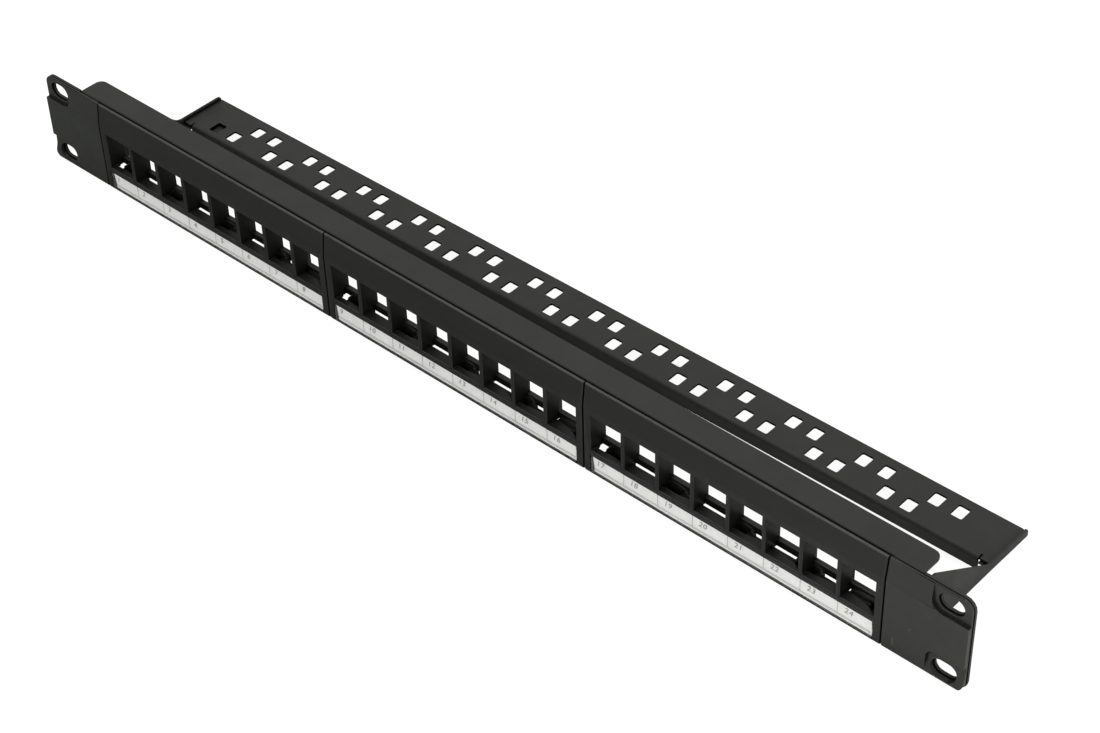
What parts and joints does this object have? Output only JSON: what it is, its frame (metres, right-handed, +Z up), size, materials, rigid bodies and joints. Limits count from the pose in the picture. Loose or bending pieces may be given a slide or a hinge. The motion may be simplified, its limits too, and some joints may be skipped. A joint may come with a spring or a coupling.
{
  "type": "patch panel",
  "caption": "Unloaded keystone patch panel for a 19-inch rack, one unit high, with snap-in bezels, label strips and a rear cable tray.",
  "frame": {"origin": "centre of the panel's front face, on the middle bezel's wall between its fourth and fifth openings; the rack plane (rear face of the steel ears) is 3.8 mm behind it", "axes": "+X to the right seen from the front, +Y to the rear, +Z up"},
  "size_m": [0.4826, 0.0746, 0.0449],
  "materials": {
    "black_powder_coat": "satin, fine texture",
    "black_abs": "satin, fine grain",
    "label_paper": "matt, printed numbers",
    "clear_cover": "clear glossy plastic",
    "zinc_screw": "zinc plated"
  },
  "bodies": {
    "frame": {"front_frame": "black_powder_coat"},
    "cable_support": {"cable_tray": "black_powder_coat", "side_arm_left": "black_powder_coat", "side_arm_right": "black_powder_coat", "arm_screw_left_1": "zinc_screw", "arm_screw_left_2": "zinc_screw", "arm_screw_right_1": "zinc_screw", "arm_screw_right_2": "zinc_screw"},
    "cap_left": {"ear_cap_left": "black_abs"},
    "cap_right": {"ear_cap_right": "black_abs"},
    "module_1": {"bezel_module_1": "black_abs"},
    "label_1": {"label_cover_1": "clear_cover", "label_strip_1": "label_paper"},
    "module_2": {"bezel_module_2": "black_abs"},
    "label_2": {"label_cover_2": "clear_cover", "label_strip_2": "label_paper"},
    "module_3": {"bezel_module_3": "black_abs"},
    "label_3": {"label_cover_3": "clear_cover", "label_strip_3": "label_paper"}
  },
  "joints": [
    {"name": "cable_support_off", "type": "slide", "parent": "frame", "child": "cable_support", "axis": [0, 1, 0], "range_m": [0, 0.04]},
    {"name": "cap_left_off", "type": "slide", "parent": "frame", "child": "cap_left", "axis": [0, -1, 0], "range_m": [0, 0.02]},
    {"name": "cap_right_off", "type": "slide", "parent": "frame", "child": "cap_right", "axis": [0, -1, 0], "range_m": [0, 0.02]},
    {"name": "module_1_unsnap", "type": "slide", "parent": "frame", "child": "module_1", "axis": [0, -1, 0], "range_m": [0, 0.03]},
    {"name": "label_1_out", "type": "slide", "parent": "module_1", "child": "label_1", "axis": [0, -1, 0], "range_m": [0, 0.01]},
    {"name": "module_2_unsnap", "type": "slide", "parent": "frame", "child": "module_2", "axis": [0, -1, 0], "range_m": [0, 0.03]},
    {"name": "label_2_out", "type": "slide", "parent": "module_2", "child": "label_2", "axis": [0, -1, 0], "range_m": [0, 0.01]},
    {"name": "module_3_unsnap", "type": "slide", "parent": "frame", "child": "module_3", "axis": [0, -1, 0], "range_m": [0, 0.03]},
    {"name": "label_3_out", "type": "slide", "parent": "module_3", "child": "label_3", "axis": [0, -1, 0], "range_m": [0, 0.01]}
  ]
}
